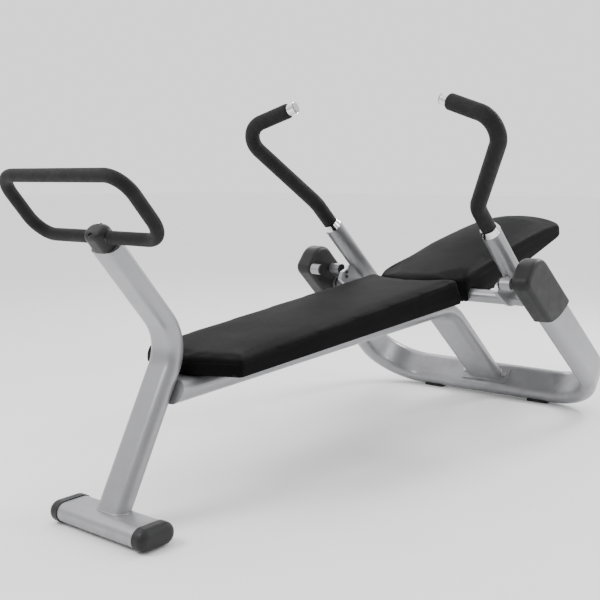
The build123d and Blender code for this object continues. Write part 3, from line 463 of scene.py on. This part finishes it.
def stitches(name, points, normals, body, length, gap, radius):
    """Closed row of short thread stitches that lie on the surface."""
    co = np.array([tuple(p) for p in points] + [tuple(points[0])])
    outward = np.array([tuple(n) for n in normals] + [tuple(normals[0])])
    along = distances(co)
    pitch, around = length + gap, 6
    verts, faces = [], []
    for index in range(int(along[-1] / pitch)):
        rings = []
        for share, size, lift in STITCH_RINGS:
            at = index * pitch + share * length
            centre = Vector([np.interp(at, along, co[:, k]) for k in range(3)])
            out = Vector([np.interp(at, along, outward[:, k]) for k in range(3)]).normalized()
            rings.append((centre + out * radius * lift, out, size * radius))
        tangent = (rings[-1][0] - rings[0][0]).normalized()
        base = len(verts)
        for centre, out, size in rings:
            side = tangent.cross(out).normalized()
            for k in range(around):
                turn = 2 * pi * k / around
                verts.append(centre + (side * cos(turn) + out * sin(turn)) * size)
        last = len(verts) - around
        for start in range(base, last, around):
            faces += band(start, start + around, around)
        faces += end_caps(base, last, around)
    return new_piece(name, verts, faces, "black_thread", body)


# ---- upholstery ---------------------------------------------------------------------------------

def evaluated_mesh(made):
    graph = bpy.context.evaluated_depsgraph_get()
    return bpy.data.meshes.new_from_object(made.evaluated_get(graph))


def coordinates(mesh):
    co = np.empty(len(mesh.vertices) * 3)
    mesh.vertices.foreach_get("co", co)
    return co.reshape(-1, 3)


def set_coordinates(mesh, co):
    mesh.vertices.foreach_set("co", co.ravel())
    mesh.update()


def relax(co, edges, weight, rounds, strength=0.5):
    """Rounds off a mesh where weight is above nothing, by moving each point towards its neighbours."""
    degree = np.bincount(edges.ravel(), minlength=len(co)).astype(float)[:, None]
    for _ in range(rounds):
        total = np.zeros_like(co)
        np.add.at(total, edges[:, 0], co[edges[:, 1]])
        np.add.at(total, edges[:, 1], co[edges[:, 0]])
        co = co + weight[:, None] * strength * (total / np.maximum(degree, 1) - co)
    return co


def remeshed(name, source, slope):
    """Copy of a CAD solid in small even faces that line up with its slope, and its edges."""
    tilt = atan(slope)
    made = bpy.data.objects.new(name, source.copy())
    scene.collection.objects.link(made)
    made.data.materials.clear()
    made.data.transform(Matrix.Rotation(tilt, 4, "Y"))
    remesh = made.modifiers.new("remesh", "REMESH")
    remesh.mode, remesh.voxel_size = "VOXEL", 0.0054
    bpy.context.view_layer.update()
    mesh = evaluated_mesh(made)
    made.modifiers.clear()
    made.data = mesh
    mesh.name = name
    mesh.transform(Matrix.Rotation(-tilt, 4, "Y"))
    edges = np.empty(len(mesh.edges) * 2, np.int64)
    mesh.edges.foreach_get("vertices", edges)
    return made, edges.reshape(-1, 2)


def swollen(made, free):
    """Where a cushion's points go when it swells under pressure from inside."""
    group = made.vertex_groups.new(name="held")
    for index, amount in enumerate(1.0 - free):
        group.add([index], float(amount), "REPLACE")
    cloth = made.modifiers.new("cloth", "CLOTH")
    settings = cloth.settings
    settings.quality = 5
    settings.use_pressure = True
    settings.uniform_pressure_force = 4.0
    settings.vertex_group_mass = "held"
    settings.effector_weights.gravity = 0.0
    settings.tension_stiffness = settings.compression_stiffness = 18.0
    settings.bending_stiffness = 1.2
    for step in range(1, 21):
        scene.frame_set(step)
    co = coordinates(evaluated_mesh(made))
    made.modifiers.clear()
    made.vertex_groups.clear()
    scene.frame_set(1)
    return co


def subdivide(made):
    name = made.name
    smooth = made.modifiers.new("smooth", "SUBSURF")
    smooth.levels = smooth.render_levels = 1
    bpy.context.view_layer.update()
    made.data = evaluated_mesh(made)
    made.modifiers.clear()
    made.data.name = name
    made.data.polygons.foreach_set("use_smooth", [True] * len(made.data.polygons))


def upholster(name, node, body, slope, held, shape, rounds, cap):
    """Cushion made from its CAD solid: remeshed, softened at its edges, swollen by cloth, then shaped."""
    source = nodes[node].data
    made, edges = remeshed(name, source, slope)
    everywhere = np.ones(len(made.data.vertices))
    faces = [tuple(f.vertices) for f in source.polygons]
    solid = BVHTree.FromPolygons([v.co.copy() for v in source.vertices], faces)
    rest = relax(coordinates(made.data), edges, everywhere, 2)
    rest = np.array([tuple(solid.find_nearest(Vector(p))[0]) for p in rest])
    free = relax((1.0 - held(rest))[:, None], edges, everywhere, 4)[:, 0]
    rest = relax(rest, edges, everywhere, 1, 0.25)
    soft = relax(rest, edges, free, rounds)
    set_coordinates(made.data, soft)
    move = swollen(made, free) - soft
    far = np.linalg.norm(move, axis=1, keepdims=True)
    soft = soft + move * np.minimum(1.0, cap / np.maximum(far, 1e-9)) * free[:, None]
    soft = relax(soft, edges, free, 4, 0.4)
    set_coordinates(made.data, shape(soft, free))
    subdivide(made)
    made.data.materials.clear()
    made.data.materials.append(MATERIALS["black_vinyl"])
    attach(made, body)
    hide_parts(node)
    return made


def bench_bottom(x):
    return UNDERSIDE_HEIGHT + UNDERSIDE_SLOPE * (x - X0 - UNDERSIDE_START)


def bench_top(x):
    return TOP_HEIGHT + TOP_SLOPE * (x - X0)


def back_crease(x):
    return np.interp(x, CREASE_X, CREASE_Z)


def rise(value, start, width):
    """0 up to the start, then evenly up to 1 over the width."""
    return np.clip((value - start) / width, 0, 1)


def bench_held(co):
    """Points on the underside and in the pocket for the board stay where they are."""
    pocket, fade = 0.018, 0.012
    return 1.0 - rise(co[:, 2] - bench_bottom(co[:, 0]), pocket, fade)


def back_held(co):
    """Points on the underside and in the pocket for the pan stay. The head end's edge gives a little."""
    skin, fade = 0.004, 0.010
    give, give_start, give_fade = 0.6, 1.84, 0.04
    crease = back_crease(co[:, 0])
    above = co[:, 2] - np.interp(co[:, 0], BOTTOM_X, BOTTOM_Z)
    inside = (np.abs(co[:, 1]) < POCKET_HALF) & (co[:, 0] < X0 + POCKET_END)
    roof = (crease - co[:, 2]) > skin
    under = inside & roof & (co[:, 0] > X0 + POCKET_START)
    low = 1.0 - rise(above, skin, fade)
    low *= 1.0 - give * rise(co[:, 0] - X0, give_start, give_fade)
    return np.maximum(low, under.astype(float))


def ripples(co, free, size):
    """Slight unevenness of hand-pulled vinyl."""
    broad = np.array([noise.noise(Vector(p) * 7.0) for p in co])
    narrow = np.array([noise.noise(Vector(p) * 19.0) for p in co])
    return (broad * 0.7 + narrow * 0.3) * size * free


def bench_shape(co, free):
    """Crowned top with ripples."""
    crown_height, ripple_height, edge, fade = 0.0025, 0.0002, 0.012, 0.010
    crown = np.clip(1 - (co[:, 1] / PAD_HALF) ** 2, 0, 1) * crown_height
    on_top = rise(co[:, 2] - bench_top(co[:, 0]), -edge, fade)
    co = co.copy()
    co[:, 2] += (crown + ripples(co, free, ripple_height)) * on_top
    return co


def back_shape(co, free):
    """Top with ripples. Its curves are in the CAD solid."""
    ripple_height, edge, fade = 0.0005, 0.004, 0.010
    on_top = rise(co[:, 2] - back_crease(co[:, 0]), -edge, fade)
    co = co.copy()
    co[:, 2] += ripples(co, free, ripple_height) * on_top
    return co


bench_pad = upholster(
    "bench_pad_cover", "bench_cushion", FIXED, UNDERSIDE_SLOPE, bench_held, bench_shape,
    rounds=9, cap=0.0028)
back_pad = upholster(
    "back_pad_cover", "back_cushion", SWING, BACK_SLOPE, back_held, back_shape,
    rounds=11, cap=0.0038)


# ---- seams --------------------------------------------------------------------------------------

def closed_plan(line, step=0.004):
    """Evenly spaced points around a closed plan, each with its outward direction."""
    points = resample([Vector((x, y, 0)) for x, y in line] + [Vector((*line[0], 0))], step)[:-1]
    count = len(points)
    out = []
    for i, p in enumerate(points):
        tangent = (points[(i + 3) % count] - points[(i - 3) % count]).normalized()
        out.append((p, Vector((tangent.y, -tangent.x, 0))))
    area = sum(a.x * b.y - b.x * a.y for (a, _), (b, _) in zip(out, out[1:] + out[:1]))
    return out if area > 0 else [(p, -n) for p, n in out]


def bench_edge():
    """Plan of the bench pad: narrow foot end, two shoulders, and the hollow head end."""
    radius = LIP_RADIUS + LIP_GAP
    head = LIP_X - sqrt(radius**2 - PAD_HALF**2)
    line = [
        (head, PAD_HALF), (X0 + SHOULDER, PAD_HALF), (X0 + FOOT_END, FOOT_HALF),
        (X0 + FOOT_END, -FOOT_HALF), (X0 + SHOULDER, -PAD_HALF), (head, -PAD_HALF),
    ]
    half = asin(PAD_HALF / radius)
    for i in range(1, 40):
        turn = -half + 2 * half * i / 40
        line.append((LIP_X - radius * cos(turn), radius * sin(turn)))
    return closed_plan(line)


def back_edge():
    """Plan of the back pad: round nose, and a straight head end with round corners."""
    half = asin(PAD_HALF / LIP_RADIUS)
    line = []
    for i in range(41):
        turn = half - 2 * half * i / 40
        line.append((LIP_X - LIP_RADIUS * cos(turn), LIP_RADIUS * sin(turn)))
    start, middle = X0 + BACK_END - BACK_CORNER, PAD_HALF - BACK_CORNER
    for side in (-1, 1):
        for i in range(11):
            turn = radians(90 * i / 10) if side < 0 else radians(90 - 90 * i / 10)
            line.append((start + BACK_CORNER * sin(turn), side * (middle + BACK_CORNER * cos(turn))))
    return closed_plan(line)


def surface_line(made, edge, height):
    """Line on a cushion's side at the given height function, with the surface's normals."""
    outside, depth = 0.03, 0.09
    tree = BVHTree.FromObject(made, bpy.context.evaluated_depsgraph_get())
    points, normals = [], []
    for place, outward in edge:
        start = Vector((place.x, place.y, height(place.x))) + outward * outside
        hit, normal, _, _ = tree.ray_cast(start, -outward, depth)
        if hit is not None:
            points.append(hit)
            normals.append(normal)
    co = np.array([tuple(p) for p in points])
    for _ in range(3):
        co = 0.5 * co + 0.25 * (np.roll(co, 1, 0) + np.roll(co, -1, 0))
    return [Vector(p) for p in co], normals


def sew(made, edge, body, label, top, drop):
    """Welt around a cushion's side, below its top, and a row of stitches just above the welt."""
    above, sunk, welt_radius = 0.0045, 0.0003, 0.0009
    seam, out = surface_line(made, edge, lambda x: top(x) - drop)
    line = [p - n * sunk for p, n in zip(seam, out)]
    welt = bead(f"{label}_welt", line, welt_radius, "black_vinyl", body)
    row, out = surface_line(made, edge, lambda x: top(x) - drop + above)
    stitches(f"{label}_stitches", row, out, body, length=0.0042, gap=0.0024, radius=0.00042)


sew(bench_pad, bench_edge(), FIXED, "bench_pad", bench_top, drop=0.016)
sew(back_pad, back_edge(), SWING, "back_pad", back_crease, drop=0.026)


# ---- foam grips and the loop's sleeve -----------------------------------------------------------

def beside(place, side):
    """Point given by its distance along the bench, its distance from the middle and its height."""
    along, across, height = place
    return Vector((X0 + along, side * across, height))


for side, word in SIDES:
    root = Vector((ARM_FOOT.x, side * ARM_Y, ARM_FOOT.z)) + ARM_DIR * ARM_LENGTH
    elbow = Vector((ELBOW_X, side * ARM_Y, ARM_FOOT.z + (ARM_FOOT.x - ELBOW_X) * tan(ARM_ANGLE)))
    turn_in, tip = beside(HANDLE_OUT, side), beside(HANDLE_TIP, side)
    end = tip - (tip - turn_in).normalized() * BARE_TIP
    line = resample(filleted([root, elbow, turn_in, end], HANDLE_BENDS), 0.0035)
    grip = sleeve(
        f"foam_grip_{word}", line, GRIP_RADIUS, BAR_RADIUS, 0.004, "black_foam", SWING, uneven=0.00015)
    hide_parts(f"hand_grip_{word}")


def on_loop(across, up):
    return LOOP_FOOT + Vector((0, across, 0)) + LOOP_UP * up


corners = [
    on_loop(LOOP_START, 0), on_loop(LOOP_WIDE, 0), on_loop(LOOP_TOP_WIDE, LOOP_HIGH),
    on_loop(-LOOP_TOP_WIDE, LOOP_HIGH), on_loop(-LOOP_WIDE, 0), on_loop(-LOOP_START, 0),
]
loop_line = resample(filleted(corners, (LOOP_BEND,) * 4), 0.0035)
loop_cover = sleeve(
    "grab_loop_cover", loop_line, LOOP_COVER_RADIUS, LOOP_BAR_RADIUS, 0.0022, "black_foam", FIXED,
    around=36, uneven=0.00012)
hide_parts("grab_loop_sleeve")


# ---- weld beads ---------------------------------------------------------------------------------

def weld(name, centre, towards, section, target, reach=None):
    """Painted weld bead where a flat-oval tube, wide across the bench, meets another node.

    With a reach, only the parts of the bead that are that near to the middle are made.
    """
    back_off, depth = 0.05, 0.12
    across = Vector((0, 1, 0))
    up = towards.cross(across)
    half, radius = (section[0] - section[1]) / 2, section[1] / 2
    outline = []
    for i in range(72):
        turn = 2 * pi * (i + 0.5) / 72
        shift = half if cos(turn) > 0 else -half
        outline.append(Vector(centre) + across * (shift + radius * cos(turn)) + up * radius * sin(turn))
    surface = BVHTree.FromObject(nodes[target], bpy.context.evaluated_depsgraph_get())
    runs = [[]]
    for place in resample(outline + [outline[0]], 0.002):
        hit = surface.ray_cast(place - towards * back_off, towards, depth)[0]
        if hit is None or (reach and abs(place.y) > reach):
            runs.append([])
        else:
            runs[-1].append(hit)
    runs = [run for run in runs if len(run) > 6]
    for index, run in enumerate(runs):
        whole = reach is None and len(runs) == 1
        label = name if len(runs) == 1 else f"{name}_{index + 1}"
        bead(label, run[:-1] if whole else run, 0.0022, "silver_paint", FIXED, whole, ripple=0.10)


def down(angle, way):
    """Direction that goes down at an angle, towards the head end, or with way -1 the foot end."""
    return Vector((way * cos(angle), 0, -sin(angle)))


# Each weld: middle of the tube's end, the way the tube points there, its section, and the node it meets.
weld("post_foot_weld", (X0 + 0.057, 0, 0.050), down(POST_ANGLE, -1), POST_SECTION, "foot_stabiliser")
weld("brace_foot_weld", (X0 + 1.6362, 0, 0.0709), down(BRACE_ANGLE, 1), BEAM_SECTION, "brace_foot_plate")
weld("beam_start_weld", (X0 + 0.225, 0, 0.2706), down(BEAM_ANGLE, -1), BEAM_SECTION, "front_post", 0.021)

for side, word in SIDES:
    for way, edge in ((-1, "inner"), (1, "outer")):
        across = side * (ARM_Y + way * (BRACKET_HALF + PROUD))
        radius = PIVOT_TUBE_RADIUS + PROUD
        ring = []
        for i in range(48):
            turn = pi * i / 24
            ring.append(pivot + Vector((radius * cos(turn), across, radius * sin(turn))))
        bead(f"pivot_weld_{edge}_{word}", ring, 0.0018, "silver_paint", SWING, ripple=0.10)


# ---- floor, light and camera --------------------------------------------------------------------

def lay_floor():
    """Plain pale floor just under the feet."""
    reach, below = 30, 0.0005
    mesh = bpy.data.meshes.new("floor")
    corners = [(-reach, -reach, 0), (reach, -reach, 0), (reach, reach, 0), (-reach, reach, 0)]
    mesh.from_pydata(corners, [], [(0, 1, 2, 3)])
    floor = bpy.data.objects.new("floor", mesh)
    floor.location.z = cad_low.z - below
    scene.collection.objects.link(floor)
    pale = Shader("floor_paint", Roughness=0.8, Specular_IOR_Level=0.2)
    patches = pale.ramp(pale.noise(1.5, 3.0), 0.3, 0.7)
    pale.feed("Base Color", pale.blend(patches, grey(0.93), grey(0.95)))
    mesh.materials.append(pale.material)


def light_sky():
    """White sky that is brighter behind the bench, as the camera sees it, and overhead."""
    behind = (0.777, 0.629, 0.0)
    world = bpy.data.worlds.new("studio")
    scene.world = world
    world.use_nodes = True
    sky = world.node_tree.nodes
    links = world.node_tree.links
    sky["Background"].inputs["Color"].default_value = (1.0, 1.0, 1.0, 1.0)
    direction = sky.new("ShaderNodeTexCoord").outputs["Generated"]
    towards = sky.new("ShaderNodeVectorMath")
    towards.operation = "DOT_PRODUCT"
    towards.inputs[1].default_value = behind
    links.new(direction, towards.inputs[0])
    height = sky.new("ShaderNodeSeparateXYZ")
    links.new(direction, height.inputs[0])
    total = sky.new("ShaderNodeMath")
    parts = (
        (towards.outputs["Value"], (-0.9, 0.6, 0.40, 1.45)),
        (height.outputs[2], (0.30, 1.0, 0.0, 0.8)),
    )
    for index, (value, limits) in enumerate(parts):
        level = sky.new("ShaderNodeMapRange")
        links.new(value, level.inputs["Value"])
        for key, amount in zip(("From Min", "From Max", "To Min", "To Max"), limits):
            level.inputs[key].default_value = amount
        links.new(level.outputs[0], total.inputs[index])
    links.new(total.outputs[0], sky["Background"].inputs["Strength"])


def lamp(name, place, aim, size, power):
    light = bpy.data.lights.new(name, "AREA")
    light.shape, light.size, light.size_y, light.energy = "RECTANGLE", size[0], size[1], power
    made = bpy.data.objects.new(name, light)
    made.location = place
    made.rotation_mode = "QUATERNION"
    made.rotation_quaternion = (Vector(aim) - Vector(place)).to_track_quat("-Z", "Y")
    scene.collection.objects.link(made)


def place_camera():
    """Camera at the photograph's angle: in front of the foot end, to the right, looking slightly down."""
    location, yaw, pitch = (X0 - 1.1244, -1.4393, 0.7168), 0.6801, 0.1315
    camera = bpy.data.cameras.new("camera")
    camera.lens, camera.sensor_width = 55.9, 36.0
    camera.clip_start, camera.clip_end = 0.05, 100.0
    view = bpy.data.objects.new("camera", camera)
    view.location = location
    ahead = Vector((cos(yaw) * cos(pitch), sin(yaw) * cos(pitch), -sin(pitch)))
    view.rotation_mode = "QUATERNION"
    view.rotation_quaternion = ahead.to_track_quat("-Z", "Y")
    scene.collection.objects.link(view)
    scene.camera = view


lay_floor()
light_sky()
lamp("key", (-2.4, 0.9, 2.4), (-0.3, 0, 0.4), (1.2, 1.0), 50)
lamp("side", (1.2, -3.0, 1.4), (0.1, 0, 0.3), (0.9, 1.4), 22)
lamp("edges", (2.2, -0.5, 1.9), (0.0, -0.1, 0.4), (0.8, 0.4), 30)
lamp("sheen", (2.1, 2.0, 2.2), (0.8, 0, 0.5), (0.9, 0.6), 14)
place_camera()
